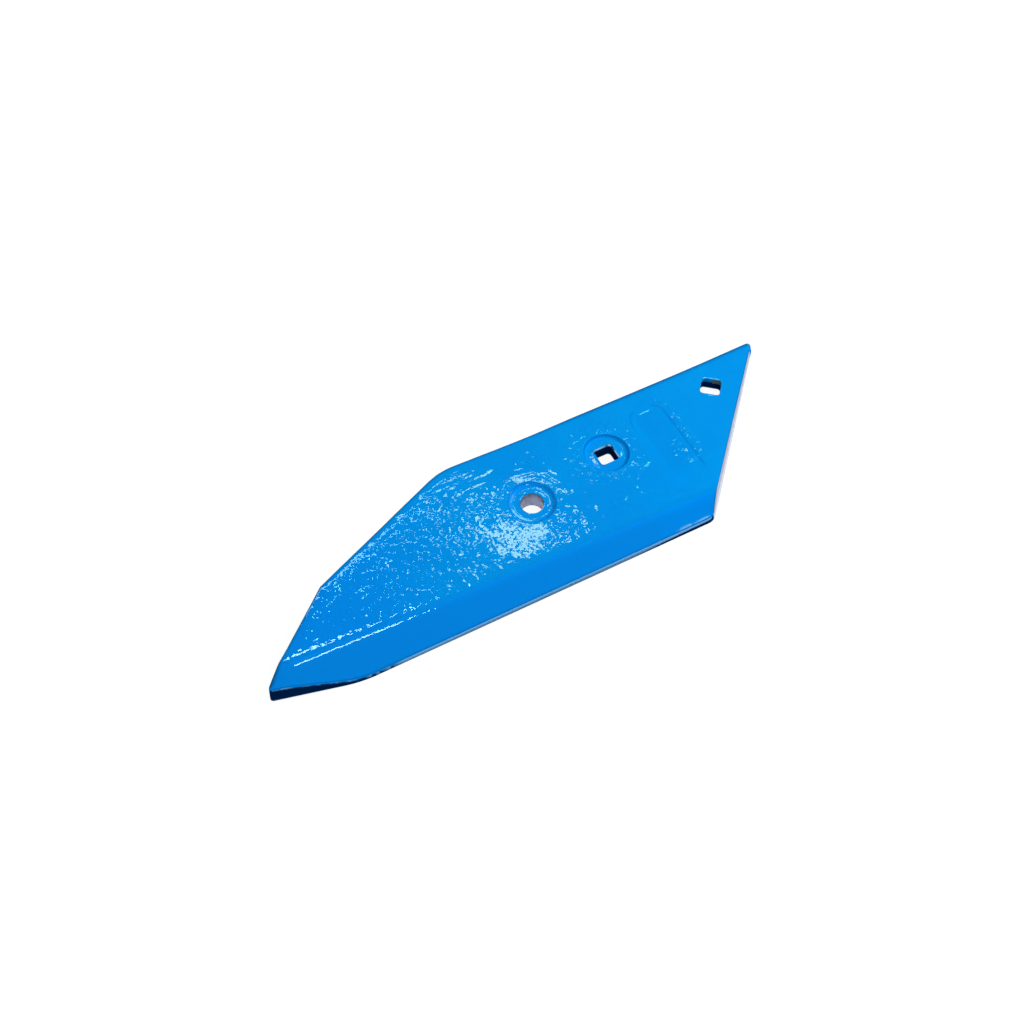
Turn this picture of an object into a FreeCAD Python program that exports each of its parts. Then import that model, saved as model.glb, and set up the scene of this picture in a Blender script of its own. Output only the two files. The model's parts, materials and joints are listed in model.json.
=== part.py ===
"""Plough point: one forged and painted steel point with a round bolt hole and two square bolt holes.

The point lies on its flat underside. X runs along the cutting edge towards the tail, Y runs from the cutting
edge towards the back, Z is up. The origin is where the axis of the round bolt hole meets the underside.
"""

import FreeCAD, Part
import math
import os

import Sketcher

os.makedirs("parts", exist_ok=True)
document = FreeCAD.newDocument("plough_point")

# Driving sizes in millimetres and degrees, every place measured from the axis of the round bolt hole.
SIZES = {
    # Outline of the underside
    "edge_offset": 56.3,
    "tip_reach": 193.9,
    "tip_drop": 43.0,
    "nose_cut_reach": 140.8,
    "cheek_reach": 140.3,
    "cheek_rise": 4.2,
    "back_corner_reach": 41.1,
    "back_corner_rise": 48.2,
    "tail_reach": 197.3,
    "tail_rise": 52.6,
    "heel_reach": 97.8,
    # Radius to which the back edge is hollow
    "back_hollow": 4000.0,
    # Corners of the outline
    "tip_round": 2.0,
    "nose_cut_round": 80.0,
    "cheek_round": 8.0,
    "back_corner_round": 45.0,
    "tail_round": 2.5,
    "heel_round": 8.0,
    # Draft of the sides, and more of it on the tail face
    "side_draft": 2.0,
    "tail_draft": 10.0,
    # Thickness on the hole line at both ends, and how far the top falls towards the back for each millimetre
    "nose_thick": 20.4,
    "tail_thick": 9.5,
    "nose_back_fall": -0.021,
    "tail_back_fall": 0.066,
    # Bevel that rises from the land of the cutting edge
    "bevel_angle": 40.7,
    "nose_land": 1.0,
    "tail_land": 3.8,
    "crest_round": 7.0,
    # Facet forged on the tip: it leaves the crest at a place this far behind the tip and beside it
    "facet_behind": 19.7,
    "facet_beside": 8.2,
    "facet_pitch": 8.8,
    "facet_roll": 32.6,
    "arris_round": 1.2,
    # Bolt holes and the round seats sunk about them
    "round_hole_dia": 14.5,
    "square_hole_side": 13.0,
    "square_hole_round": 2.2,
    "seat_dia": 26.0,
    "seat_wall_angle": 38.0,
    "round_seat_depth": 2.2,
    "square_seat_depth": 2.1,
    "middle_hole_reach": 59.6,
    "middle_hole_rise": 12.3,
    "tail_hole_reach": 147.4,
    "tail_hole_rise": 28.7,
    "tail_hole_turn": 40.0,
    # Shallow blank pad for a marking
    "pad_reach": 97.5,
    "pad_rise": 0.7,
    "pad_long": 66.0,
    "pad_wide": 24.0,
    "pad_depth": 0.5,
    "pad_round": 9.0,
    # Room that the cuts run past the steel
    "margin": 12.0,
}

sizes = document.addObject("Spreadsheet::Sheet", "sizes")
for row, (name, value) in enumerate(SIZES.items(), start=1):
    sizes.set(f"A{row}", name)
    sizes.set(f"B{row}", str(value))
    sizes.setAlias(f"B{row}", name)
document.recompute()

body = document.addObject("PartDesign::Body", "plough_point")
body.Label = "plough_point"

# A block this long, wide and high holds the whole point.
LENGTH = "(sizes.tip_reach + sizes.tail_reach + 2 * sizes.margin)"
WIDTH = "(2 * sizes.edge_offset + 2 * sizes.margin)"
HEIGHT = "(sizes.nose_thick + sizes.margin)"


def between(nose_value, tail_value, x):
    """A value that changes evenly from the nose end to the tail end, at a place along the point."""
    return f"({nose_value} + ({tail_value} - {nose_value}) * ({x} + sizes.tip_reach + sizes.margin) / {LENGTH})"


def back_fall(x):
    return between("sizes.nose_back_fall", "sizes.tail_back_fall", x)


def top_height(x, y):
    """Height of the winding top face above the underside."""
    return f"({between('sizes.nose_thick', 'sizes.tail_thick', x)} - {back_fall(x)} * ({y}))"


def origin_plane(role):
    """The body's own origin plane of that role."""
    return next(plane for plane in body.Origin.OriginFeatures if plane.Role == role)


def place(feature, role="XY_Plane", x="0", y="0", z="0", yaw="0", pitch="0", roll="0"):
    """Attach a sketch or a primitive to an origin plane, moved and turned by the given expressions."""
    feature.AttachmentSupport = [(origin_plane(role), "")]
    feature.MapMode = "FlatFace"
    vector = f"create(<<vector>>; {x}; {y}; {z})"
    rotation = f"create(<<rotation>>; {yaw}; {pitch}; {roll})"
    feature.setExpression("AttachmentOffset", f"create(<<placement>>; {vector}; {rotation})")


def new_sketch(name, role="XY_Plane", **placing):
    sketch = body.newObject("Sketcher::SketchObject", name)
    place(sketch, role, **placing)
    return sketch


def number_of(expression):
    """The value that an expression has now."""
    value = sizes.evalExpression(expression.replace("sizes.", ""))
    return float(getattr(value, "Value", value))


def hold_size(sketch, name, expression, kind, *ends):
    """Hold one dimension of a sketch at the value of an expression."""
    index = sketch.addConstraint(Sketcher.Constraint(kind, *ends, number_of(expression)))
    sketch.renameConstraint(index, name)
    sketch.setExpression(f"Constraints.{name}", expression)


def hold_end(sketch, side, point, name, x, y):
    """Hold one end of a side at the place that two expressions give, measured from the sketch's origin."""
    for axis, kind, expression in (("x", "DistanceX", x), ("y", "DistanceY", y)):
        if number_of(expression) >= 0:
            ends = (-1, 1, side, point)
        else:
            ends = (side, point, -1, 1)
            expression = f"-({expression})"
        hold_size(sketch, f"{name}_{axis}", expression, kind, *ends)


def hollow_arc(start, end, radius):
    """An arc that bends into an outline, whose other sides are drawn counter-clockwise."""
    chord = end - start
    outwards = FreeCAD.Vector(chord.y, -chord.x, 0).normalize()
    centre = (start + end) / 2 + outwards * math.sqrt(radius ** 2 - (chord.Length / 2) ** 2)
    angles = [math.atan2(place.y - centre.y, place.x - centre.x) for place in (end, start)]
    return Part.ArcOfCircle(Part.Circle(centre, FreeCAD.Vector(0, 0, 1), radius), *angles)


def add_outline(sketch, corners, hollows=None):
    """Draw a closed outline through named corners, each held at its own place.

    hollows gives the radius of each side that is hollow, under the name of the corner where the side starts.
    """
    hollows = hollows or {}
    places = [FreeCAD.Vector(number_of(x), number_of(y), 0) for _, x, y in corners]
    following = places[1:] + places[:1]
    starts = [2 if name in hollows else 1 for name, _, _ in corners]
    for (name, _, _), start, end in zip(corners, places, following):
        if name in hollows:
            sketch.addGeometry(hollow_arc(start, end, number_of(hollows[name])))
        else:
            sketch.addGeometry(Part.LineSegment(start, end))
    for side, start in enumerate(starts):
        after = (side + 1) % len(corners)
        sketch.addConstraint(Sketcher.Constraint("Coincident", side, 3 - start, after, starts[after]))
    for side, (name, x, y) in enumerate(corners):
        hold_end(sketch, side, starts[side], name, x, y)
        if name in hollows:
            hold_size(sketch, f"{name}_hollow", hollows[name], "Radius", side)


def add_rounded_rectangle(sketch, long, wide, radius):
    """Draw a rectangle with rounded corners, centred on the sketch's origin."""
    corner = number_of(radius)
    across, up = number_of(long) / 2, number_of(wide) / 2
    for quarter in range(4):
        turn = FreeCAD.Rotation(FreeCAD.Vector(0, 0, 1), 90 * quarter)
        half, side = (across, up) if quarter % 2 == 0 else (up, across)
        start = turn.multVec(FreeCAD.Vector(corner - half, -side, 0))
        end = turn.multVec(FreeCAD.Vector(half - corner, -side, 0))
        centre = turn.multVec(FreeCAD.Vector(half - corner, corner - side, 0))
        sketch.addGeometry(Part.LineSegment(start, end))
        circle = Part.Circle(centre, FreeCAD.Vector(0, 0, 1), corner)
        angle = (quarter - 1) * math.pi / 2
        sketch.addGeometry(Part.ArcOfCircle(circle, angle, angle + math.pi / 2))
    for line in range(0, 8, 2):
        sketch.addConstraint(Sketcher.Constraint("Tangent", line, 2, line + 1, 1))
        sketch.addConstraint(Sketcher.Constraint("Tangent", line + 1, 2, (line + 2) % 8, 1))
        sketch.addConstraint(Sketcher.Constraint("Vertical" if line % 4 else "Horizontal", line))
    for arc in (3, 5, 7):
        sketch.addConstraint(Sketcher.Constraint("Equal", 1, arc))
    sketch.addConstraint(Sketcher.Constraint("Symmetric", 1, 3, 5, 3, -1, 1))
    hold_size(sketch, "corner", radius, "Radius", 1)
    hold_size(sketch, "long", long, "DistanceX", 6, 1, 2, 1)
    hold_size(sketch, "wide", wide, "DistanceY", 0, 1, 4, 1)


def volume():
    document.recompute()
    return body.Shape.Volume


def check_cut(feature, before):
    """Stop if a cut points away from the steel and takes nothing."""
    if volume() >= before - 1:
        raise RuntimeError(f"{feature.Name} took nothing away")


def cut_up(name, sketch, height, taper=None):
    """Take away the steel above a sketch, up to the given height."""
    before = volume()
    pocket = body.newObject("PartDesign::Pocket", name)
    pocket.Profile = sketch
    pocket.Type = "Length"
    pocket.Reversed = True
    pocket.setExpression("Length", height)
    if taper:
        pocket.setExpression("TaperAngle", taper)
    check_cut(pocket, before)


def cut_along(name, draw_profile):
    """Take away what lies between a profile drawn at the nose end and the same profile drawn at the tail end."""
    before = volume()
    ends = (("nose", "-(sizes.tip_reach + sizes.margin)"), ("tail", "sizes.tail_reach + sizes.margin"))
    profiles = []
    for end, reach in ends:
        profile = new_sketch(f"{name}_{end}", "YZ_Plane", z=reach)
        draw_profile(profile, end)
        profiles.append(profile)
    loft = body.newObject("PartDesign::SubtractiveLoft", name)
    loft.Profile = profiles[0]
    loft.Sections = profiles[1:]
    loft.Ruled = True
    check_cut(loft, before)


def round_edges(name, radius, wanted):
    """Round every edge of the body that the test accepts."""
    document.recompute()
    base, shape = body.Tip, body.Shape
    names = [f"Edge{index}" for index, edge in enumerate(shape.Edges, start=1)
             if not edge.Degenerated and wanted(shape, edge)]
    if not names:
        raise RuntimeError(f"{name} found no edge")
    fillet = body.newObject("PartDesign::Fillet", name)
    fillet.Base = (base, names)
    fillet.setExpression("Radius", radius)
    document.recompute()


def upright_at(x, y):
    """A test for the nearly upright edge whose foot is the nearest to a corner of the underside."""
    corner = FreeCAD.Vector(number_of(x), number_of(y), 0)

    def gap(edge):
        low, high = sorted((vertex.Point for vertex in (edge.Vertexes[0], edge.Vertexes[-1])), key=lambda p: p.z)
        return (low - corner).Length if high.z - low.z > 1 and low.z < 1 else math.inf

    def wanted(shape, edge):
        return gap(edge) == min(map(gap, shape.Edges))
    return wanted


def upward(face):
    """How far the outward normal in the middle of a face points up, from -1 to 1."""
    u_low, u_high, v_low, v_high = face.ParameterRange
    return face.normalAt((u_low + u_high) / 2, (v_low + v_high) / 2).z


# Blank: the outline of the underside, drawn up with the draft of the die and left long at the tail.
CORNERS = {
    "tip": ("-sizes.tip_reach", "-sizes.tip_drop"),
    "nose_cut": ("-sizes.nose_cut_reach", "-sizes.edge_offset"),
    "heel": ("sizes.heel_reach", "-sizes.edge_offset"),
    "tail": ("sizes.tail_reach", "sizes.tail_rise"),
    "back_corner": ("-sizes.back_corner_reach", "sizes.back_corner_rise"),
    "cheek": ("-sizes.cheek_reach", "sizes.cheek_rise"),
}
BACK_CLIMB = "((sizes.tail_rise - sizes.back_corner_rise) / (sizes.tail_reach + sizes.back_corner_reach))"
STOCK_REACH = "(sizes.tail_reach + 2 * sizes.margin)"
outline = new_sketch("outline")
add_outline(outline, [
    ("tip", *CORNERS["tip"]),
    ("nose_cut", *CORNERS["nose_cut"]),
    ("stock_front", STOCK_REACH, "-sizes.edge_offset"),
    ("stock_back", STOCK_REACH, f"sizes.tail_rise + 2 * sizes.margin * {BACK_CLIMB}"),
    ("back_corner", *CORNERS["back_corner"]),
    ("cheek", *CORNERS["cheek"]),
], {"stock_back": "sizes.back_hollow"})
blank = body.newObject("PartDesign::Pad", "blank")
blank.Profile = outline
blank.setExpression("Length", HEIGHT)
blank.setExpression("TaperAngle", "-sizes.side_draft")

# Tail face: a straight cut from heel to tail, with more draft than the other sides.
TAIL_LEAN = "((sizes.tail_reach - sizes.heel_reach) / (sizes.tail_rise + sizes.edge_offset))"
tail_cut = new_sketch("tail_cut")
add_outline(tail_cut, [
    ("heel_end", f"sizes.heel_reach - sizes.margin * {TAIL_LEAN}", "-sizes.edge_offset - sizes.margin"),
    ("outside_front", "sizes.tail_reach + 4 * sizes.margin", "-sizes.edge_offset - sizes.margin"),
    ("outside_back", "sizes.tail_reach + 4 * sizes.margin", "sizes.tail_rise + sizes.margin"),
    ("tail_end", f"sizes.tail_reach + sizes.margin * {TAIL_LEAN}", "sizes.tail_rise + sizes.margin"),
])
cut_up("tail_face", tail_cut, HEIGHT, "sizes.tail_draft")

# Corners of the outline, while their edges still run the full height of the blank.
for name, corner in CORNERS.items():
    round_edges(f"{name}_turn", f"sizes.{name}_round", upright_at(*corner))


# Top face: it winds, level across at the nose and falling towards the back at the tail.
def draw_above_top(profile, end):
    front, back = f"-{WIDTH}", WIDTH
    heights = [f"sizes.{end}_thick - sizes.{end}_back_fall * ({side})" for side in (front, back)]
    add_outline(profile, [
        ("front", front, heights[0]),
        ("back", back, heights[1]),
        ("above_back", back, f"3 * {HEIGHT}"),
        ("above_front", front, f"3 * {HEIGHT}"),
    ])


cut_along("top_face", draw_above_top)


# Bevel: one slope, over a land that grows from the nose to the tail.
def draw_outside_bevel(profile, end):
    head = f"sizes.{end}_land + sizes.edge_offset * tan(sizes.bevel_angle)"
    add_outline(profile, [
        ("foot", "-sizes.edge_offset - sizes.margin", f"sizes.{end}_land - sizes.margin * tan(sizes.bevel_angle)"),
        ("head", "0", head),
        ("outside", "-sizes.edge_offset - sizes.margin", head),
    ])


cut_along("bevel", draw_outside_bevel)

# Facet on the tip, from the crest down.
FACET_HEAD = ("(sizes.facet_behind - sizes.tip_reach)", "(sizes.facet_beside - sizes.tip_drop)")
facet_sheet = new_sketch("facet_sheet", x=FACET_HEAD[0], y=FACET_HEAD[1], z=top_height(*FACET_HEAD),
                         pitch="-sizes.facet_pitch", roll="sizes.facet_roll")
add_rounded_rectangle(facet_sheet, "5 * sizes.margin", "5 * sizes.margin", "sizes.margin")
cut_up("facet", facet_sheet, HEIGHT)


# Crest and arrises: every edge where two upper faces meet, then every edge where an upper face meets a side.
UPPER = 0.5


def crest(shape, edge):
    return all(upward(face) > UPPER for face in shape.ancestorsOfType(edge, Part.Face))


def arris(shape, edge):
    lower, upper = sorted(upward(face) for face in shape.ancestorsOfType(edge, Part.Face))
    return -UPPER < lower < UPPER < upper


round_edges("crest_turn", "sizes.crest_round", crest)
round_edges("arris_turn", "sizes.arris_round", arris)


# Bolt holes, two of them in round seats sunk square to the underside.
def seat_height(x, y, depth):
    return f"({top_height(x, y)} - {depth})"


def add_seat(name, x, y, depth):
    """Sink a shallow seat with a sloping wall, whose floor is parallel to the underside."""
    before = volume()
    seat = body.newObject("PartDesign::SubtractiveCone", name)
    place(seat, x=x, y=y, z=seat_height(x, y, depth))
    seat.setExpression("Radius1", "sizes.seat_dia / 2")
    seat.setExpression("Radius2", "sizes.seat_dia / 2 + sizes.margin * tan(sizes.seat_wall_angle)")
    seat.setExpression("Height", "sizes.margin")
    check_cut(seat, before)


def add_square_hole(name, x, y, turn):
    sketch = new_sketch(f"{name}_outline", x=x, y=y, yaw=turn)
    add_rounded_rectangle(sketch, "sizes.square_hole_side", "sizes.square_hole_side", "sizes.square_hole_round")
    cut_up(name, sketch, HEIGHT)


add_seat("round_seat", "0", "0", "sizes.round_seat_depth")
round_outline = new_sketch("round_hole_outline")
round_outline.addGeometry(Part.Circle(FreeCAD.Vector(), FreeCAD.Vector(0, 0, 1), SIZES["round_hole_dia"] / 2))
round_outline.addConstraint(Sketcher.Constraint("Coincident", 0, 3, -1, 1))
hold_size(round_outline, "bore", "sizes.round_hole_dia", "Diameter", 0)
cut_up("round_hole", round_outline, HEIGHT)

MIDDLE_HOLE = ("sizes.middle_hole_reach", "sizes.middle_hole_rise")
add_seat("square_seat", *MIDDLE_HOLE, "sizes.square_seat_depth")
add_square_hole("middle_hole", *MIDDLE_HOLE, "0")
add_square_hole("tail_hole", "sizes.tail_hole_reach", "sizes.tail_hole_rise", "-sizes.tail_hole_turn")

# Marking pad: a blank shallow recess across the point, parallel to the top face where it lies.
pad_sheet = new_sketch("pad_sheet", x="sizes.pad_reach", y="sizes.pad_rise",
                       z=f"{top_height('sizes.pad_reach', 'sizes.pad_rise')} - sizes.pad_depth",
                       pitch=f"atan((sizes.nose_thick - sizes.tail_thick) / {LENGTH})",
                       roll=f"-atan({back_fall('sizes.pad_reach')})")
add_rounded_rectangle(pad_sheet, "sizes.pad_wide", "sizes.pad_long", "sizes.pad_round")
cut_up("marking_pad", pad_sheet, HEIGHT)

# Check every object, then write the piece.
document.recompute()
faults = [item.Name for item in document.Objects if {"Invalid", "Error"} & set(item.State)]
if faults:
    raise RuntimeError(f"these objects failed: {faults}")
if body.Shape.isNull() or not body.Shape.isValid() or len(body.Shape.Solids) != 1:
    raise RuntimeError("the point isn't one valid solid")
body.Shape.exportStep(f"parts/{body.Label}.step")
box = body.Shape.optimalBoundingBox(False)
print(f"Volume {body.Shape.Volume:.0f} mm3, {box.XLength:.1f} x {box.YLength:.1f} x {box.ZLength:.1f} mm")
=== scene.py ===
import json
import math

import bpy
import numpy as np
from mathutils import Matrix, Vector, noise
from mathutils.bvhtree import BVHTree
from mathutils.geometry import delaunay_2d_cdt
from mathutils.kdtree import KDTree


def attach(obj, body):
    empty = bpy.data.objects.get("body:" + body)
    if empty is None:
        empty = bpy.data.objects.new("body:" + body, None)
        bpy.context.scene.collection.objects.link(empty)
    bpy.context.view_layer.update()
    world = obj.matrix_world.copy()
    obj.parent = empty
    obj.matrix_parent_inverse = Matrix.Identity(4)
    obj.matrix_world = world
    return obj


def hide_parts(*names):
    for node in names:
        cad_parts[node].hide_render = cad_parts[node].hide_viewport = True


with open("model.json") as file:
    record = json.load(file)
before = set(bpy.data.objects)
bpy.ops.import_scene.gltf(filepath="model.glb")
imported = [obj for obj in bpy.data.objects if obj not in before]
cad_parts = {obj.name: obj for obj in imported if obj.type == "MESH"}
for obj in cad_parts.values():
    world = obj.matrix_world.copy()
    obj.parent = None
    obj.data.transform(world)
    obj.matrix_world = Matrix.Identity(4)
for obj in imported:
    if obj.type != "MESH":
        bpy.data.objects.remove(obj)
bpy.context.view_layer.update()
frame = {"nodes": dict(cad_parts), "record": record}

# Viewpoint: the camera stands a little under a metre away, on the side of the cutting edge, and looks down on
# the point, level and with no roll.
VIEWPOINT = Vector((-0.2319, -0.4164, 0.7263))
AIM = Vector((-0.00995, 0.00762, 0))
SENSOR_WIDTH, FOCAL_LENGTH = 36, 49.18

camera = bpy.data.objects.new("camera", bpy.data.cameras.new("camera"))
bpy.context.scene.collection.objects.link(camera)
camera.location = VIEWPOINT
camera.rotation_euler = (AIM - VIEWPOINT).to_track_quat("-Z", "Y").to_euler()
camera.data.sensor_width = SENSOR_WIDTH
camera.data.lens = FOCAL_LENGTH
bpy.context.scene.camera = camera

# Forging: a blank of steel, forged hot in a die, trimmed and dipped in paint. Its sides are followed up from
# the flat underside, over the rounded arris, to the edge of the top. All its sizes are in millimetres.
MM = 0.001
WALL_STEP = 1.0
WALL_ROWS, ARRIS_ROWS = 8, 6
ARRIS_INSET = 1.35
LOWEST_ARRIS = 0.3
CLEAR_ABOVE, CLEAR_OUTSIDE = 60.0, 3.0
LOOK_INSET, LOOK_BELOW = 2.0, 1.5
FACES_DOWN, ON_FLOOR = -0.9, 0.01

steel = frame["nodes"]["plough_point"]
solid = BVHTree.FromPolygons([v.co / MM for v in steel.data.vertices],
                             [p.vertices for p in steel.data.polygons])


def underside_loops():
    """The outlines of the underside, each in order, the longest first."""
    spot = [tuple(round(c / MM, 3) for c in v.co) for v in steel.data.vertices]
    count = {}
    for face in steel.data.polygons:
        ring = [spot[i] for i in face.vertices]
        if face.normal.z < FACES_DOWN and max(p[2] for p in ring) < ON_FLOOR:
            for a, b in zip(ring, ring[1:] + ring[:1]):
                count[(a, b)] = count.get((a, b), 0) + 1
    onward = {a: b for a, b in count if (b, a) not in count}
    loops = []
    while onward:
        loop, here = [], next(iter(onward))
        while here in onward:
            loop.append(here[:2])
            here = onward.pop(here)
        loops.append(np.array(loop))
    return sorted(loops, key=lambda loop: -np.ptp(loop[:, 0]))


def spaced(loop, step):
    """The same closed outline with its points evenly spaced, running counter-clockwise seen from above."""
    following = np.roll(loop, -1, axis=0)
    area = np.sum(loop[:, 0] * following[:, 1] - loop[:, 1] * following[:, 0])
    if area < 0:
        loop = loop[::-1]
    ring = np.vstack([loop, loop[:1]])
    along = np.concatenate([[0], np.cumsum(np.hypot(*np.diff(ring, axis=0).T))])
    stops = np.linspace(0, along[-1], round(along[-1] / step), endpoint=False)
    return np.column_stack([np.interp(stops, along, ring[:, k]) for k in (0, 1)])


def outwards(loop):
    """The direction straight out of a counter-clockwise outline at each of its points."""
    chord = np.roll(loop, -1, axis=0) - np.roll(loop, 1, axis=0)
    chord /= np.hypot(*chord.T)[:, None]
    return np.column_stack([chord[:, 1], -chord[:, 0]])


def struck(start, direction):
    """Where a ray first meets the steel."""
    place = solid.ray_cast(Vector(start), Vector(direction).normalized())[0]
    return None if place is None else np.array(place)


def top_at(x, y):
    """How high the steel is at a spot, or 0 beside it."""
    place = struck((x, y, CLEAR_ABOVE), (0, 0, -1))
    return 0.0 if place is None else place[2]


foot = spaced(underside_loops()[0], WALL_STEP)
out = outwards(foot)
wall = np.zeros((WALL_ROWS + ARRIS_ROWS + 1, len(foot), 3))
for i, (spot, n) in enumerate(zip(foot, out)):
    out3 = np.array([*n, 0])
    outside = spot + CLEAR_OUTSIDE * n
    side = struck((*outside, top_at(*(spot - LOOK_INSET * n)) - LOOK_BELOW), -out3)
    pivot = side - ARRIS_INSET * out3
    pivot[2] = max(top_at(*pivot[:2]) - ARRIS_INSET, LOWEST_ARRIS)
    wall[0, i, :2] = spot
    for row in range(1, WALL_ROWS):
        wall[row, i] = struck((*outside, pivot[2] * row / WALL_ROWS), -out3)
    for row in range(ARRIS_ROWS + 1):
        turn = math.pi / 2 * row / ARRIS_ROWS
        wall[WALL_ROWS + row, i] = struck(pivot, math.cos(turn) * out3 + np.array([0, 0, math.sin(turn)]))

# Bolt holes: one round and two square, punched and reamed right through for the bolts that hold the point to
# the plough. The paint rounds their rims and stops part of the way down.
SQUARE_SIDE, SQUARE_ROUND = 13.0, 2.2
TAIL_HOLE_TURN = -40.0
ROUND_STEPS, CORNER_STEPS, SIDE_STEPS, BORE_STEPS = 96, 6, 10, 8
RIM = ((0.45, 0.0), (0.22, 0.05), (0.07, 0.2), (0.0, 0.45))
BESIDE_RIM = 0.55
mounts = {m["name"]: m for m in frame["record"]["mounts"]}


def centre_of(name):
    return np.array(mounts[name]["pos_m"][:2]) / MM


def round_loop(name, offset):
    """A circle, wider than the hole by the offset all round."""
    radius = mounts[name]["dims"]["r_mm"] + offset
    angles = np.linspace(0, 2 * math.pi, ROUND_STEPS, endpoint=False)
    return centre_of(name) + radius * np.column_stack([np.cos(angles), np.sin(angles)])


def square_loop(name, offset, turn):
    """A square with rounded corners, wider than the hole by the offset on every side."""
    loop = []
    for quarter, corner in enumerate(((1, 1), (-1, 1), (-1, -1), (1, -1))):
        centre = (SQUARE_SIDE / 2 - SQUARE_ROUND) * np.array(corner)
        for step in range(CORNER_STEPS + 1):
            angle = math.pi / 2 * (quarter + step / CORNER_STEPS)
            loop.append(centre + (SQUARE_ROUND + offset) * np.array([math.cos(angle), math.sin(angle)]))
        first, last = loop[-1 - CORNER_STEPS], loop[-1]
        after = np.array([-first[1], first[0]])
        loop += [last + (after - last) * k / SIDE_STEPS for k in range(1, SIDE_STEPS)]
    c, s = math.cos(math.radians(turn)), math.sin(math.radians(turn))
    return centre_of(name) + np.array(loop) @ np.array([[c, s], [-s, c]])


HOLES = {
    "round_bolt_hole": lambda offset: round_loop("round_bolt_hole", offset),
    "middle_square_hole": lambda offset: square_loop("middle_square_hole", offset, 0),
    "tail_square_hole": lambda offset: square_loop("tail_square_hole", offset, TAIL_HOLE_TURN),
}
bores = {}
for name, loop_at in HOLES.items():
    rim = np.array([top_at(*spot) for spot in loop_at(BESIDE_RIM)])
    levels = [(offset, rim - drop) for offset, drop in RIM]
    levels += [(0, (rim - RIM[-1][1]) * (1 - k / BORE_STEPS)) for k in range(1, BORE_STEPS + 1)]
    bores[name] = np.array([np.column_stack([loop_at(offset), level]) for offset, level in levels])

# Top: the forged face with its two round bolt seats and its shallow marking pad. A fine net of triangles is
# laid on it and eased where the thick paint fills the steps of the seats and of the pad.
NET_STEP = 0.75
EDGE_GAP = 0.6
EASE_CRISP, EASE_SEATS, EASE_SOFT, EASE_FILLED = 2, 3, 16, 60
SEAT_FLOOR, SEAT_EDGE, SEAT_REACH = 13.0, 15.7, 18.0
SEAT_LIPS = {"round_bolt_hole": 15.1, "middle_square_hole": 14.5}
PAD_CENTRE = (97.5, 0.7)
PAD_LONG, PAD_WIDE, PAD_ROUND = 66.0, 24.0, 9.0
PAD_FILLED_TO = 4.5


def ramp(value, start, end):
    """0 up to the start, 1 from the end on, and smooth between."""
    share = np.clip((np.asarray(value, float) - start) / (end - start), 0, 1)
    return share * share * (3 - 2 * share)


def band(value, start, full, fading, end):
    """1 from full to fading, 0 before the start and after the end, and smooth between."""
    return ramp(value, start, full) * (1 - ramp(value, fading, end))


def inside(spots, loop):
    """Which spots lie inside a closed outline."""
    x, y = spots.T
    result = np.zeros(len(spots), bool)
    for (xa, ya), (xb, yb) in zip(loop, np.roll(loop, -1, axis=0)):
        if ya != yb:
            result ^= ((ya > y) != (yb > y)) & (x < (xb - xa) * (y - ya) / (yb - ya) + xa)
    return result


def looked_up(spots):
    """A tree that finds the nearest of some spots."""
    tree = KDTree(len(spots))
    for i, spot in enumerate(spots):
        tree.insert((*spot, 0), i)
    tree.balance()
    return tree


def netted(outer, inners, step):
    """Triangles over the space between an outline and the outlines inside it, with points a step apart."""
    low, high = outer.min(0), outer.max(0)
    levels = np.arange(low[1], high[1], step * math.sqrt(3) / 2)
    across = [np.arange(low[0] + (j % 2) * step / 2, high[0], step) for j in range(len(levels))]
    grid = np.vstack([np.column_stack([xs, np.full(len(xs), level)]) for xs, level in zip(across, levels)])
    loops = [outer, *inners]
    edge_points = np.vstack(loops)
    near = looked_up(edge_points)
    between = inside(grid, outer) & ~np.any([inside(grid, loop) for loop in inners], axis=0)
    grid = [spot for spot in grid[between] if near.find((*spot, 0))[2] > EDGE_GAP * step]
    edges, start = [], 0
    for loop in loops:
        n = len(loop)
        edges += [(start + k, start + (k + 1) % n) for k in range(n)]
        start += n
    given = [Vector(spot) for spot in np.vstack([edge_points, *grid])]
    made = delaunay_2d_cdt(given, edges, [], 1, 1e-7, False)
    spots = np.array([tuple(spot) for spot in made[0]])
    triangles = np.array(made[2])
    middle = spots[triangles].mean(1)
    between = inside(middle, outer) & ~np.any([inside(middle, loop) for loop in inners], axis=0)
    return spots, triangles[between]


def drawn_in(spot):
    """Where on the steel a spot of the skin takes its height: the painted seats are a little narrower."""
    for name, lip in SEAT_LIPS.items():
        way = spot - centre_of(name)
        radius = math.hypot(*way)
        if SEAT_FLOOR < radius < SEAT_REACH:
            reach = np.interp(radius, (SEAT_FLOOR, lip, SEAT_REACH), (SEAT_FLOOR, SEAT_EDGE, SEAT_REACH))
            return centre_of(name) + way * reach / radius
    return spot


top_outline = wall[-1][:, :2]
rims = [bores[name][0][:, :2] for name in HOLES]
top_spots, top_faces = netted(top_outline, rims, NET_STEP)
fixed = len(top_outline) + sum(map(len, rims))
top = np.column_stack([top_spots, np.zeros(len(top_spots))])
top[:fixed] = np.vstack([wall[-1], *[bores[name][0] for name in HOLES]])
for i in range(fixed, len(top)):
    top[i, 2] = top_at(*drawn_in(top[i, :2]))

pairs = np.vstack([top_faces[:, [0, 1]], top_faces[:, [1, 2]], top_faces[:, [2, 0]]])
pairs = np.unique(np.sort(pairs, axis=1), axis=0)
ends = np.concatenate([pairs[:, 0], pairs[:, 1]])
others = np.concatenate([pairs[:, 1], pairs[:, 0]])
neighbours = np.bincount(ends, minlength=len(top))


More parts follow.
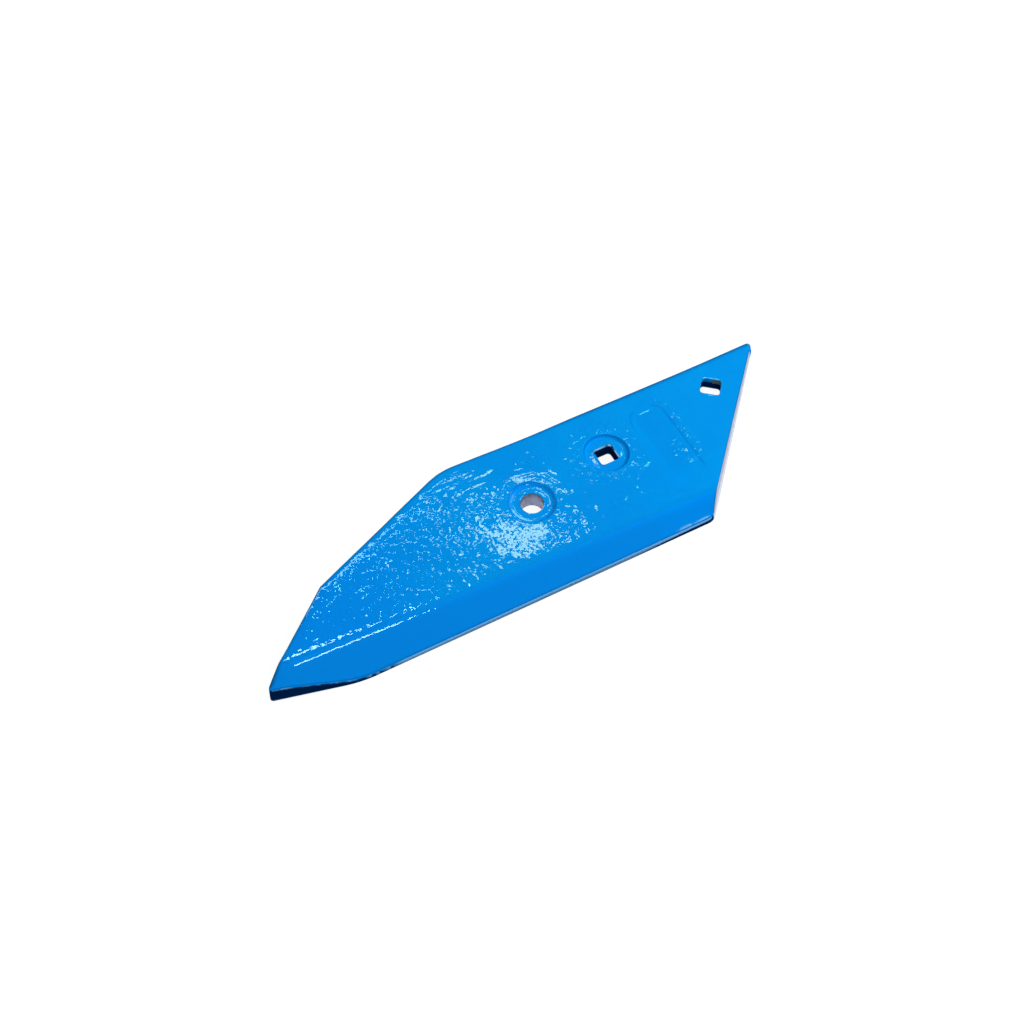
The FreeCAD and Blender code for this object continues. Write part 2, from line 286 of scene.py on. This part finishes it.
def eased(height, times):
    """The heights with small steps smoothed away, the outlines held."""
    height = height.copy()
    for _ in range(times):
        mean = np.bincount(ends, weights=height[others], minlength=len(height)) / neighbours
        height[fixed:] += 0.5 * (mean - height)[fixed:]
    return height


def from_hole(spots, name):
    """How far spots lie from the middle of a hole."""
    return np.hypot(*(spots[:, :2] - centre_of(name)).T)


def from_seats(spots):
    """How far spots lie outside the edge of the nearer of the two seats."""
    return np.min([from_hole(spots, name) - lip for name, lip in SEAT_LIPS.items()], axis=0)


def from_pad(spots):
    """How far spots lie outside the edge of the marking pad."""
    core = np.array([PAD_WIDE, PAD_LONG]) / 2 - PAD_ROUND
    over = np.abs(spots[:, :2] - PAD_CENTRE) - core
    return np.hypot(*np.maximum(over, 0).T) + np.minimum(over.max(1), 0) - PAD_ROUND


def stamped_share(spots):
    """1 where the pad is stamped deep enough to show: along its tail side and round its upper end."""
    across, along = (spots[:, :2] - PAD_CENTRE).T
    tail_side = ramp(across, 5, 9) * ramp(along, -28, -20)
    upper_end = ramp(along, 18, 24) * (1 - ramp(across, -8, -3))
    return np.maximum(tail_side, upper_end)


crisp = eased(top[:, 2], EASE_CRISP)
soft = eased(crisp, EASE_SOFT)
soft_share = np.clip(np.minimum(from_seats(top), np.abs(from_pad(top))) / 3 - 0.5, 0, 1)
seat_share = band(from_seats(top), -6.5, -5, 1, 3)
pad_share = ramp(PAD_FILLED_TO - np.abs(from_pad(top)), 0, 1.5) * (1 - 0.35 * stamped_share(top))
top[:, 2] = crisp + soft_share * (soft - crisp) + seat_share * (eased(crisp, EASE_SEATS) - crisp)
top[:, 2] += pad_share * (eased(soft, EASE_FILLED) - top[:, 2])

# Underside: the flat face that lies on the plough. The photograph doesn't show it, so it is plain and painted
# as the rest.
UNDER_STEP = 9.0

under_spots, under_faces = netted(foot, [bores[name][-1][:, :2] for name in HOLES], UNDER_STEP)

# One skin: the paint covers the forging without a seam, so the sides, the top, the bores and the underside
# share the points along their edges. The tail face is cut and left chalky, and the land of the cutting edge is
# worn bright, but painted shade keeps it dark at its foot towards the tail and on the cut nose. The sides, the
# lower arris, the back arris and the upper arris of the tail and of the cutting edge carry painted shade as
# well.
MARKS = ("lumps", "gloss", "bare", "bored", "worn", "rust", "grime", "cut")
TAIL_WAY = (0.738, -0.674)
EDGE_WAYS = ((0.0, -1.0), (-0.24, -0.97))
BACK_WAY = (0.49, 0.87)
# Painted shade: how far up the land the dark reaches towards the tail.
LAND_DARK = 3.0
TAIL_WORN, NOSE_FADES = 0.75, 0.55
# How dark the painted shade is on the tail's arris, on the cutting edge's upper arris and along the back arris.
TAIL_ARRIS_SHADE, CUTTING_ARRIS_SHADE, BACK_ARRIS_SHADE = 0.55, 0.4, 0.7
points, faces, marks = [], [], {name: [] for name in MARKS}


def add_points(spots, **given):
    """Add points to the skin with what their finish is like, and return their indexes."""
    first = len(points)
    points.extend(spots)
    for name in MARKS:
        marks[name].extend(np.broadcast_to(given.get(name, 0.0), len(spots)))
    return np.arange(first, len(points))


def add_band(low, high):
    """Add a band of faces between two rows of points that go right round."""
    for k in range(len(low)):
        after = (k + 1) % len(low)
        faces.append((low[k], low[after], high[after], high[k]))


def facing(way, start, end):
    """How nearly the sides face a given way, round the outline."""
    return ramp(out @ np.array(way), start, end)


top_ids = add_points(top, lumps=1, gloss=1)
under_ids = add_points(np.column_stack([under_spots, np.zeros(len(under_spots))]), gloss=0.4)
faces.extend(tuple(top_ids[f]) for f in top_faces)
faces.extend(tuple(under_ids[f[::-1]]) for f in under_faces)

facing_tail = facing(TAIL_WAY, 0.94, 0.985)
facing_back = facing(BACK_WAY, -0.15, 0.1)
facing_edge = np.max([facing(way, 0.93, 0.98) for way in EDGE_WAYS], axis=0)
cut_bare = facing_tail * (1 - ramp(foot[:, 1], 41, 45))
nose_side = 1 - ramp(foot[:, 0], -142, -128)
dark_below = LAND_DARK * ramp(foot[:, 0], 20, 95) + nose_side * (wall[WALL_ROWS, :, 2] - LOWEST_ARRIS)
edge_worn = facing_edge * (1 - NOSE_FADES * (1 - ramp(foot[:, 0], -150, -60)))
below = under_ids[:len(foot)]
for row in range(1, WALL_ROWS + ARRIS_ROWS):
    turn = max(row - WALL_ROWS, 0) / ARRIS_ROWS
    land_worn = edge_worn * ramp(wall[row, :, 2] - dark_below, -0.3, 0.3) * (1 - ramp(turn, 0.35, 0.6))
    tail_worn = TAIL_WORN * cut_bare * ramp(row / WALL_ROWS, 0.15, 0.6) * (1 - ramp(turn, 0.3, 0.5))
    # Painted shade: the sides and the lower arris are painted dark navy, and so are the back arris, the cutting
    # edge's upper arris and the tail's arris.
    dark = np.maximum(1 - ramp(turn, 0.1, 0.5), BACK_ARRIS_SHADE * facing_back * (1 - ramp(turn, 0.8, 1.1)))
    dark += CUTTING_ARRIS_SHADE * facing_edge * band(turn, 0.55, 0.7, 0.85, 1.05)
    tail_dark = TAIL_ARRIS_SHADE * cut_bare * band(turn, 0.2, 0.4, 0.7, 0.95)
    here = add_points(wall[row], lumps=min(row / WALL_ROWS, 1), cut=cut_bare,
                      worn=np.maximum(land_worn, tail_worn),
                      gloss=ramp(turn, 0.7, 0.95) * (1 - 0.9 * facing_tail) * (1 - facing_back),
                      grime=dark * (1 - facing_tail) + tail_dark, bare=cut_bare * (1 - ramp(turn, 0.3, 0.55)))
    add_band(below, here)
    below = here
add_band(below, top_ids[:len(foot)])


def bore_finish(name, row, depth, lip):
    """What the wall of a hole is like at points so deep below its rim. Painted shade darkens it
    near the top of the round hole and low down in the square holes.
    """
    if name == "round_bolt_hole":
        return {"bare": 1 - lip, "bored": 1, "grime": 0.25 + 0.5 * ramp(row[:, 2], 7, 12)}
    if name == "middle_square_hole":
        dark = ramp(depth, 1.6, 2.2)
        return {"bare": (1 - lip) * (1 - dark), "bored": 1, "grime": dark, "worn": 0.8 * (1 - lip) * (1 - dark)}
    tail_side = ramp(row[:, 0] - centre_of(name)[0], 2.5, 5.5)
    return {"bored": 1 - lip, "grime": ramp(depth, 3.0, 3.6),
            "rust": (1 - lip) * tail_side * (1 - ramp(depth, 3.5, 5.0))}


from_start = len(foot)
for name, rows in bores.items():
    count = rows.shape[1]
    above = top_ids[from_start:from_start + count]
    for row in rows[1:-1]:
        depth = rows[0][:, 2] - row[:, 2]
        lip = 1 - ramp(depth, 0.1, 0.5)
        here = add_points(row, lumps=lip, gloss=lip, **bore_finish(name, row, depth, lip))
        add_band(here, above)
        above = here
    add_band(under_ids[from_start:from_start + count], above)
    from_start += count

points = np.array(points)
marks = {name: np.array(values, float) for name, values in marks.items()}
mesh = bpy.data.meshes.new("plough_point_painted")
mesh.from_pydata([tuple(p * MM) for p in points], [], [tuple(map(int, f)) for f in faces])
mesh.update()
normals = np.zeros(len(points) * 3)
mesh.vertices.foreach_get("normal", normals)
normals = normals.reshape(-1, 3)

# Forged skin: broad waves from the hammer, lumps and grain from scale in the die, rings drawn round the
# punched seat, ridges along the back of the nose, and edges rolled over in front. All of it goes inwards, so
# that the point keeps its size.
SKIN_MEAN, SKIN_DEPTH = 0.15, 0.5
BROAD, LUMP, GRAIN = (34.0, 0.12), (4.0, 0.10), (1.3, 0.067)
RING_STEP, RING_DEPTH = 4.3, 0.020
RIDGE_DEPTH = 0.085
SEAT_DOME = 0.010
ROLL, ROLL_WIDTH = 0.9, 9.0
DISH_REACH, DISH_SLOPE = 27.0, 0.036
PATCH_CENTRE, PATCH_SPREAD = (-27, -19), (26, 15)
SPECKS_CENTRE, SPECKS_SPREAD = (104, -8), (8, 14)


def forged(spots, size, seed):
    """Smooth random heights from -1 to 1 with lumps of about one size."""
    return np.array([noise.noise(Vector((x / size + seed, y / size - seed, z / size))) for x, y, z in spots])


def away_from(centre, spread):
    """How far points lie from the middle of an oval, 1 on its edge."""
    return np.hypot((x - centre[0]) / spread[0], (y - centre[1]) / spread[1])


def to_side(way):
    """How far round the round hole points lie on one side of it, from -1 to 1."""
    return (way[0] * x + way[1] * y) / np.maximum(around, 1)


x, y, z = points.T
around, around_square = (from_hole(points, name) for name in SEAT_LIPS)
outline = looked_up(foot)
nearest = [outline.find((*spot, 0)) for spot in points[:, :2]]
beside = np.array([found[1] for found in nearest])
to_edge = np.array([found[2] for found in nearest])

# Where it is lumpy: most in front, round the two seats, beside the pad and in a few scabs, less in the smooth
# patch, on the bevel and inside the round seat.
front = 1 - ramp(x, 10, 60)
bevelled = ramp(-normals[:, 1], 0.25, 0.5)
crested = band(-normals[:, 1], 0.03, 0.1, 0.58, 0.64) * (1 - 0.6 * bevelled) * (1 - ramp(x, -100, -60))
far_side = to_side((0.45, 0.9))
upper_front = 0.87 * ramp(y + 0.35 * x, 8, 16) * (1 - ramp(x, 0, 15))
patch = ramp(1.25 - away_from(PATCH_CENTRE, PATCH_SPREAD) + 0.35 * forged(points, 7.0, 3.1), 0.1, 0.4)
nose_share = (1 - 0.35 * ramp(-x, 115, 135)) * (1 + 0.8 * ramp(-x, 40, 60))
fore = 0.12 + 0.75 * front * (1 - upper_front) * nose_share
ringed = band(around, 7, 10, 32, 55) * (1 - upper_front) * (1 - 0.3 * ramp(x, 12, 30))
ringed *= 1 - ramp(far_side, -0.1, 0.4) * (0.35 + 0.35 * ramp(around, 20, 28))
ringed_square = band(around_square, 10, 15, 22, 34)
beside_pad = band(from_pad(points), 0.5, 2, 5, 7) * ramp(x, 105, 112) * ramp(y, -20, -5)
pad_specks = 1 - ramp(away_from(SPECKS_CENTRE, SPECKS_SPREAD), 0.7, 1)
scabs = ramp(forged(points, 8.0, 4.4), 0.2, 0.4) * (1 - front)
rough = np.max([fore, 1.15 * ringed, 1.7 * ringed_square, 2.3 * beside_pad, 1.5 * pad_specks, 0.9 * scabs],
               axis=0)
rough *= 0.55 + 0.45 * ramp(around, 12, 15)
rough *= (1 - 0.88 * patch) * (1 - 0.92 * bevelled) * (0.3 + 0.7 * ramp(to_edge, 3, 9))

# How high it is: the waves, lumps, grain, rings and ridges together, and the seats' slightly domed floors.
skin = BROAD[1] * forged(points, BROAD[0], 11.3)
skin += LUMP[1] * (np.maximum(rough, 0.1) + crested) * forged(points, LUMP[0], 5.7)
skin += GRAIN[1] * (rough + 0.5 * crested) * forged(points, GRAIN[0], 8.9)
arcs = ramp(far_side, -0.1, 0.4) * band(around, 16, 19, 28, 34)
ring_share = (ringed * (1 - 0.85 * patch) + arcs) * ramp(around, 15, 18)
ring_share *= ramp(forged(points, 11.0, 6.4), -0.35, 0.25)
skin += RING_DEPTH * ring_share * np.sin(2 * math.pi * around / RING_STEP + 2.5 * forged(points, 14.0, 2.2))
skin += RIDGE_DEPTH * ramp(y, 18, 30) * front * forged(points * np.array([0.25, 1.6, 1]), 3.0, 1.7)
for distance in (around, around_square):
    skin -= SEAT_DOME * np.where(distance < SEAT_EDGE - 2, np.clip(distance - 8, 0, 9) ** 2, 0)
rolled = ROLL * front * ramp(y, -40, -25) * np.clip(1 - to_edge / ROLL_WIDTH, 0, 1) ** 2
fall = np.clip(DISH_REACH - around, 0, None)
dish = DISH_SLOPE * np.minimum(np.where(fall < 6, fall ** 2 / 12, fall - 3), 8)
dish *= ramp(around, 12.5, 15.7) * ramp(far_side, -0.25, 0.35)
points -= normals * ((np.clip(SKIN_MEAN - skin, 0, SKIN_DEPTH) + rolled + dish) * marks["lumps"])[:, None]

# Wear: the gloss is gone beside the back edge and at the foot of the tail, the paint is rubbed off beside the
# cutting edge, and pits in the gloss break it up round the hole. Beside the back edge the top also gets a
# darker blue as painted shade, and the round seat's floor gets a light arc as a painted highlight.
on_top = np.arange(len(points)) < len(top)
dulled = facing_back[beside] * (1 - ramp(to_edge, 2.0, 3.0))
dulled_tail = 0.97 * ramp(x, 55, 75) * (1 - ramp(y, -22, -15))
marks["gloss"] *= (1 - on_top * dulled) * (1 - on_top * dulled_tail)
marks["worn"] += 0.85 * on_top * facing_edge[beside] * (1 - ramp(to_edge, 2.0, 3.9)) * ramp(x, 40, 110)
# Painted shade: a darker blue on the top beside the back edge, where the arris turns away from the lamps.
marks["edge"] = facing_back[beside] * (1 - ramp(to_edge, 1.8, 4.0))
marks["bevel"] = bevelled
marks["grain"] = rough * (1 - patch)
pits_round_hole = 0.92 * ramp(around, 14, 16) * (1 - 0.35 * ramp(around, 60, 110))
marks["pitted"] = np.max([patch, pits_round_hole, 0.85 * (around < 14)], axis=0) * (1 - bevelled)
# Painted highlight: a light arc on the round seat's floor, on its side towards the nose and the cutting edge.
marks["rubbed"] = band(around, 11.4, 12.1, 13.2, 14.0) * ramp(to_side((-0.87, -0.45)), 0.70, 0.88)
front_of_hole = ramp(to_side((-0.9, -0.45)), 0.45, 0.8)
marks["dull_wall"] = (around_square < 30) + 0.7 * (around < 30) * (1 - front_of_hole)
marks["from_seats"] = from_seats(points)
marks["from_pad"] = from_pad(points)
marks["stamped"] = np.maximum(ramp(x, 102, 106) * ramp(y, -28, -20), ramp(y, 18, 24) * (1 - ramp(x, 90, 95)))

mesh.vertices.foreach_set("co", (points * MM).ravel())
for name, values in marks.items():
    mesh.attributes.new(name, "FLOAT", "POINT").data.foreach_set("value", values)
mesh.validate()
mesh.update()
mesh.shade_smooth()
mesh.set_sharp_from_angle(angle=math.radians(40))
painted = bpy.data.objects.new("plough_point_painted", mesh)
bpy.context.scene.collection.objects.link(painted)


class Shade:
    """A socket in a material's nodes. Arithmetic on it adds the nodes that work it out."""

    def __init__(self, tree, socket=None):
        self.tree = tree
        self.socket = socket

    def node(self, kind, settings, values, output=0):
        """Add a node, set it up, give its sockets their values or links, and return one of its outputs."""
        made = self.tree.nodes.new(kind)
        for name, setting in settings.items():
            setattr(made, name, setting)
        for name, value in values.items():
            if isinstance(value, Shade):
                self.tree.links.new(value.socket, made.inputs[name])
            else:
                made.inputs[name].default_value = value
        return Shade(self.tree, made.outputs[output])

    def feed(self, socket):
        """Link this to a socket of the shader itself."""
        self.tree.links.new(self.socket, socket)

    def worked(self, operation, *values):
        return self.node("ShaderNodeMath", {"operation": operation}, dict(enumerate(values)))

    def __add__(self, other):
        return self.worked("ADD", self, other)

    def __radd__(self, other):
        return self.worked("ADD", other, self)

    def __sub__(self, other):
        return self.worked("SUBTRACT", self, other)

    def __rsub__(self, other):
        return self.worked("SUBTRACT", other, self)

    def __mul__(self, other):
        return self.worked("MULTIPLY", self, other)

    def __rmul__(self, other):
        return self.worked("MULTIPLY", other, self)

    def __abs__(self):
        return self.worked("ABSOLUTE", self)

    def ramp(self, start, end):
        """0 up to the start, 1 from the end on, and smooth between."""
        values = {"Value": self, "From Min": start, "From Max": end}
        return self.node("ShaderNodeMapRange", {"interpolation_type": "SMOOTHSTEP"}, values)

    def tint(self, low, high):
        """One colour where this is 0, the other where it is 1."""
        return self.node("ShaderNodeMix", {"data_type": "RGBA"}, {0: self, 6: low, 7: high}, 2)


# Finish: thick gloss blue enamel, deeper in cloudy places and towards the nose. Painted shade makes dark lines
# along the steps of the seats and the pad, a darker blue beside the back edge, dark navy low on the sides and
# down the holes, and darker bare steel there. Painted light makes the bevel and the painted bore walls a
# brighter blue, and a painted highlight makes a light arc on the round seat's floor. Bare steel shows where it
# was cut, worn or bored, with rust in the tail hole.
BLUE = (0.0008, 0.287, 0.785, 1)
DEEP_BLUE = (0.0006, 0.262, 0.77, 1)
NOSE_BLUE = (0.0006, 0.240, 0.81, 1)
BEVEL_LIT_BLUE = (0.0008, 0.29, 0.96, 1)
BORE_LIT_BLUE = (0.0010, 0.50, 1.0, 1)
STEP_SHADE_BLUE = (0.0005, 0.17, 0.60, 1)
PAINTED_SHADE_BLUE = (0.0006, 0.036, 0.16, 1)
BACK_EDGE_SHADE_BLUE = (0.0008, 0.17, 0.50, 1)
SEAT_HIGHLIGHT_BLUE = (0.13, 0.58, 0.98, 1)
WORN_BLUE = (0.25, 0.57, 1.0, 1)
CHALK = (0.13, 0.24, 0.42, 1)
STEEL = (0.66, 0.65, 0.74, 1)
PAINTED_SHADE_STEEL = (0.12, 0.13, 0.17, 1)
BORE_STEEL = (0.26, 0.28, 0.44, 1)
RUST = (0.28, 0.31, 0.21, 1)
GLOSS_ROUGHNESS, GLOSS_IOR = 0.02, 1.5
GRAIN_SIZE, GRAIN_DEPTH = 0.0010, 0.00010

paint = bpy.data.materials.new("blue_gloss_enamel")
paint.use_nodes = True
shader = paint.node_tree.nodes["Principled BSDF"]
finish = Shade(paint.node_tree)
place = finish.node("ShaderNodeTexCoord", {}, {}, "Object")


def mark(name):
    """What the points of the skin carry under a name."""
    return finish.node("ShaderNodeAttribute", {"attribute_name": name}, {}, "Fac")


def speckle(size, detail=2.0):
    """Random values from 0 to 1 with spots of about one size in metres."""
    return finish.node("ShaderNodeTexNoise", {}, {"Vector": place, "Scale": 1 / size, "Detail": detail})


# The mark read second here is painted shade, dark on the sides and down the holes; it also roughens them.
bored, grime = mark("bored"), mark("grime")
seats, pad = mark("from_seats"), mark("from_pad")
fine = speckle(0.0016)
bare_metal = (mark("bare") + 0.35 * (fine - 0.5)).ramp(0.42, 0.58)
worn = (mark("worn") * 1.3 + 1.2 * (speckle(0.004) - 0.62)).ramp(0.35, 0.75)
rusty = (mark("rust") + 1.8 * (speckle(0.0018, 4) - 0.55)).ramp(0.3, 0.8)
rubbed = (mark("rubbed") + 0.8 * (fine - 0.55)).ramp(0.4, 0.9)
towards_nose = finish.node("ShaderNodeSeparateXYZ", {}, {"Vector": place}, "X").ramp(-0.05, -0.15)
# Painted shade: thin dark lines round the edges of the seats and along the stamped sides of the pad stand for
# their shaded walls.
seat_line = (1 - abs(seats + 0.2).ramp(0.25, 0.8)) * 0.75
pad_line = (1 - abs(pad).ramp(0.3, 0.9)) * mark("stamped") * 0.5
line = finish.worked("MAXIMUM", seat_line, pad_line)
mottle = 0.6 * (fine - 0.5) + 2.2 * bored * (speckle(0.0035, 3) - 0.5)

colour = speckle(0.030).ramp(0.3, 0.75).tint(BLUE, DEEP_BLUE)
# Painted light: the bevel is given a brighter blue than the top; towards the nose the blue is deeper.
colour = mark("bevel").tint(towards_nose.tint(colour, NOSE_BLUE), BEVEL_LIT_BLUE)
# Painted shade beside the back edge.
colour = mark("edge").tint(colour, BACK_EDGE_SHADE_BLUE)
# Painted highlight on the round seat's floor.
colour = rubbed.tint(colour, SEAT_HIGHLIGHT_BLUE)
# Painted light: the painted walls of the holes are a brighter blue than the top.
colour = bored.tint(colour, BORE_LIT_BLUE)
# Painted shade along the steps of the seats and the pad.
colour = line.tint(colour, STEP_SHADE_BLUE)
# Painted shade: dark navy on the sides, along the back arris and down the holes.
colour = grime.tint(colour, PAINTED_SHADE_BLUE)
# Bare steel is painted darker where the painted shade lies on it, and is mottled in the bores.
colour = bare_metal.tint(colour, (grime + mottle).ramp(0, 1).tint(bored.tint(STEEL, BORE_STEEL), PAINTED_SHADE_STEEL))
colour = (worn * 0.8).tint(colour, mark("cut").tint(WORN_BLUE, CHALK))
colour = rusty.tint(colour, RUST)

seat_wall = seats.ramp(-4, -2.5) * (1 - seats.ramp(0.5, 1.5)) * mark("dull_wall")
pad_wall = pad.ramp(-4, -3) * (1 - pad.ramp(0.3, 1))
pits = speckle(0.0015, 1.5).ramp(0.53, 0.57) * mark("pitted")
coat = mark("gloss") * (1 - bare_metal) * (1 - worn) * (1 - rusty) * (1 - 0.75 * line)
coat = coat * (1 - seat_wall) * (1 - 0.95 * pad_wall) * (1 - pits)
height = speckle(GRAIN_SIZE, 1.0) * mark("grain")
relief = finish.node("ShaderNodeBump", {}, {"Strength": 1, "Distance": GRAIN_DEPTH, "Height": height})

colour.feed(shader.inputs["Base Color"])
bare_metal.feed(shader.inputs["Metallic"])
(0.42 + 0.2 * grime - 0.1 * bare_metal).feed(shader.inputs["Roughness"])
coat.feed(shader.inputs["Coat Weight"])
relief.feed(shader.inputs["Normal"])
shader.inputs["Specular IOR Level"].default_value = 0
shader.inputs["Coat Roughness"].default_value = GLOSS_ROUGHNESS
shader.inputs["Coat IOR"].default_value = GLOSS_IOR
mesh.materials.append(paint)
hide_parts("plough_point")
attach(painted, "root")

# Floor: a plain white sheet that the point lies on, pale enough to run into the backdrop. It keeps the soft
# shadow of the point.
FLOOR_REACH = 9
FLOOR_WHITE = (0.16, 0.16, 0.16, 1)
FLOOR_GLOW = 0.92

corners = [(-FLOOR_REACH, -FLOOR_REACH, 0), (FLOOR_REACH, -FLOOR_REACH, 0),
           (FLOOR_REACH, FLOOR_REACH, 0), (-FLOOR_REACH, FLOOR_REACH, 0)]
floor_mesh = bpy.data.meshes.new("floor")
floor_mesh.from_pydata(corners, [], [(0, 1, 2, 3)])
floor = bpy.data.objects.new("floor", floor_mesh)
bpy.context.scene.collection.objects.link(floor)
sheet = bpy.data.materials.new("white_sheet")
sheet.use_nodes = True
sheet_shader = sheet.node_tree.nodes["Principled BSDF"]
sheet_shader.inputs["Base Color"].default_value = FLOOR_WHITE
sheet_shader.inputs["Roughness"].default_value = 1
sheet_shader.inputs["Specular IOR Level"].default_value = 0
sheet_shader.inputs["Emission Strength"].default_value = FLOOR_GLOW


def rays(shade, kind):
    """1 for rays of one kind, else 0."""
    return shade.node("ShaderNodeLightPath", {}, {}, kind)


sheet_finish = Shade(sheet.node_tree)
seen = (rays(sheet_finish, "Is Camera Ray") + rays(sheet_finish, "Is Glossy Ray")
        + rays(sheet_finish, "Is Transmission Ray"))
seen.tint((0, 0, 0, 1), (1, 1, 1, 1)).feed(sheet_shader.inputs["Emission Color"])
floor_mesh.materials.append(sheet)

# Room: a white backdrop that reaches a little above the floor, a dark ceiling over it, and a little soft light
# from all sides.
AMBIENT = 0.30
CEILING = 0.02

world = bpy.data.worlds.new("studio")
bpy.context.scene.world = world
world.use_nodes = True
room = Shade(world.node_tree)
way = room.node("ShaderNodeTexCoord", {}, {}, "Generated")
backdrop = 1 - room.node("ShaderNodeSeparateXYZ", {}, {"Vector": way}, "Z").ramp(0.10, 0.30)
shown = rays(room, "Is Camera Ray") + rays(room, "Is Transmission Ray")
glossy = rays(room, "Is Glossy Ray")
strength = shown + glossy * (CEILING + (1 - CEILING) * backdrop) + (1 - shown - glossy) * AMBIENT
background = world.node_tree.nodes["Background"]
background.inputs["Color"].default_value = (1, 1, 1, 1)
strength.feed(background.inputs["Strength"])

# Lamps: soft boxes. The key lights the point from beyond its tail. The others are small and far off, and show
# as the bright patch beside the round hole, the specks round it and the lines along the crest.
HALF_CHORD = 14.0
LAMP_DISTANCE = 2.0
PATCH, BACK, NOSE, CREST = (-18, -22, 15), (85, -15, 11), (-125, -5, 17), (-150, -34, 17)
PATCH_GREY, TAIL_CYAN, NOSE_CYAN = (0.66, 0.95, 0.46), (0.2, 1, 0.5), (0.28, 1, 0.5)
SEAT_CYAN, BACK_CYAN, CREST_WHITE = (0.5, 1, 1), (0.45, 1, 1), (0.6, 1, 1)


def lamp(name, spot, way, size, radiance, colour=(1, 1, 1), distance=LAMP_DISTANCE):
    """A soft box that faces a spot on the point from a given direction."""
    light = bpy.data.lights.new(name, "AREA")
    light.shape = "RECTANGLE"
    light.size, light.size_y = size
    light.energy = radiance * math.pi * size[0] * size[1]
    light.color = colour
    box = bpy.data.objects.new(name, light)
    bpy.context.scene.collection.objects.link(box)
    way = Vector(way).normalized()
    box.location = Vector(spot) * MM + distance * way
    box.rotation_euler = way.to_track_quat("Z", "Y").to_euler()


def mirrored(spot, normal):
    """The direction that the camera sees mirrored in a spot with a given normal."""
    towards = (VIEWPOINT - Vector(spot) * MM).normalized()
    normal = Vector(normal).normalized()
    return 2 * towards.dot(normal) * normal - towards


def lie(x, y, lean=(0, 0)):
    """The normal of the top about a spot, taken over a wide chord, with a little lean of its own."""
    return ((top_at(x - HALF_CHORD, y) - top_at(x + HALF_CHORD, y)) / (2 * HALF_CHORD) + lean[0],
            (top_at(x, y - HALF_CHORD) - top_at(x, y + HALF_CHORD)) / (2 * HALF_CHORD) + lean[1], 1)


def crest_normal(tilt):
    return (0, -math.sin(math.radians(tilt)), math.cos(math.radians(tilt)))


lamp("key", (0, 0, 0), (0.72, -0.05, 0.69), (0.9, 0.9), 8.5, distance=1.8)
lamp("window", PATCH, mirrored(PATCH, lie(-18, -20)), (0.145, 0.105), 11, PATCH_GREY)
lamp("side_window", BACK, mirrored(BACK, lie(*BACK[:2], (-0.018, -0.036))), (0.085, 0.085), 19, TAIL_CYAN)
lamp("nose_window", NOSE, mirrored(NOSE, lie(*NOSE[:2], (-0.028, 0.028))), (0.075, 0.075), 18, NOSE_CYAN)
lamp("seat_strip", (0, 0, 12), (0.573, 0.643, 0.503), (0.30, 0.15), 12, SEAT_CYAN)
lamp("far_strip", CREST, mirrored(CREST, crest_normal(5)), (0.40, 0.25), 20, CREST_WHITE)
lamp("near_strip", CREST, mirrored(CREST, crest_normal(35)), (0.35, 0.15), 20, CREST_WHITE)
lamp("back_window", (-100, 20, 15), (0.13, 0.63, 0.765), (0.7, 0.10), 10, BACK_CYAN)

bpy.context.scene.view_settings.view_transform = "Standard"
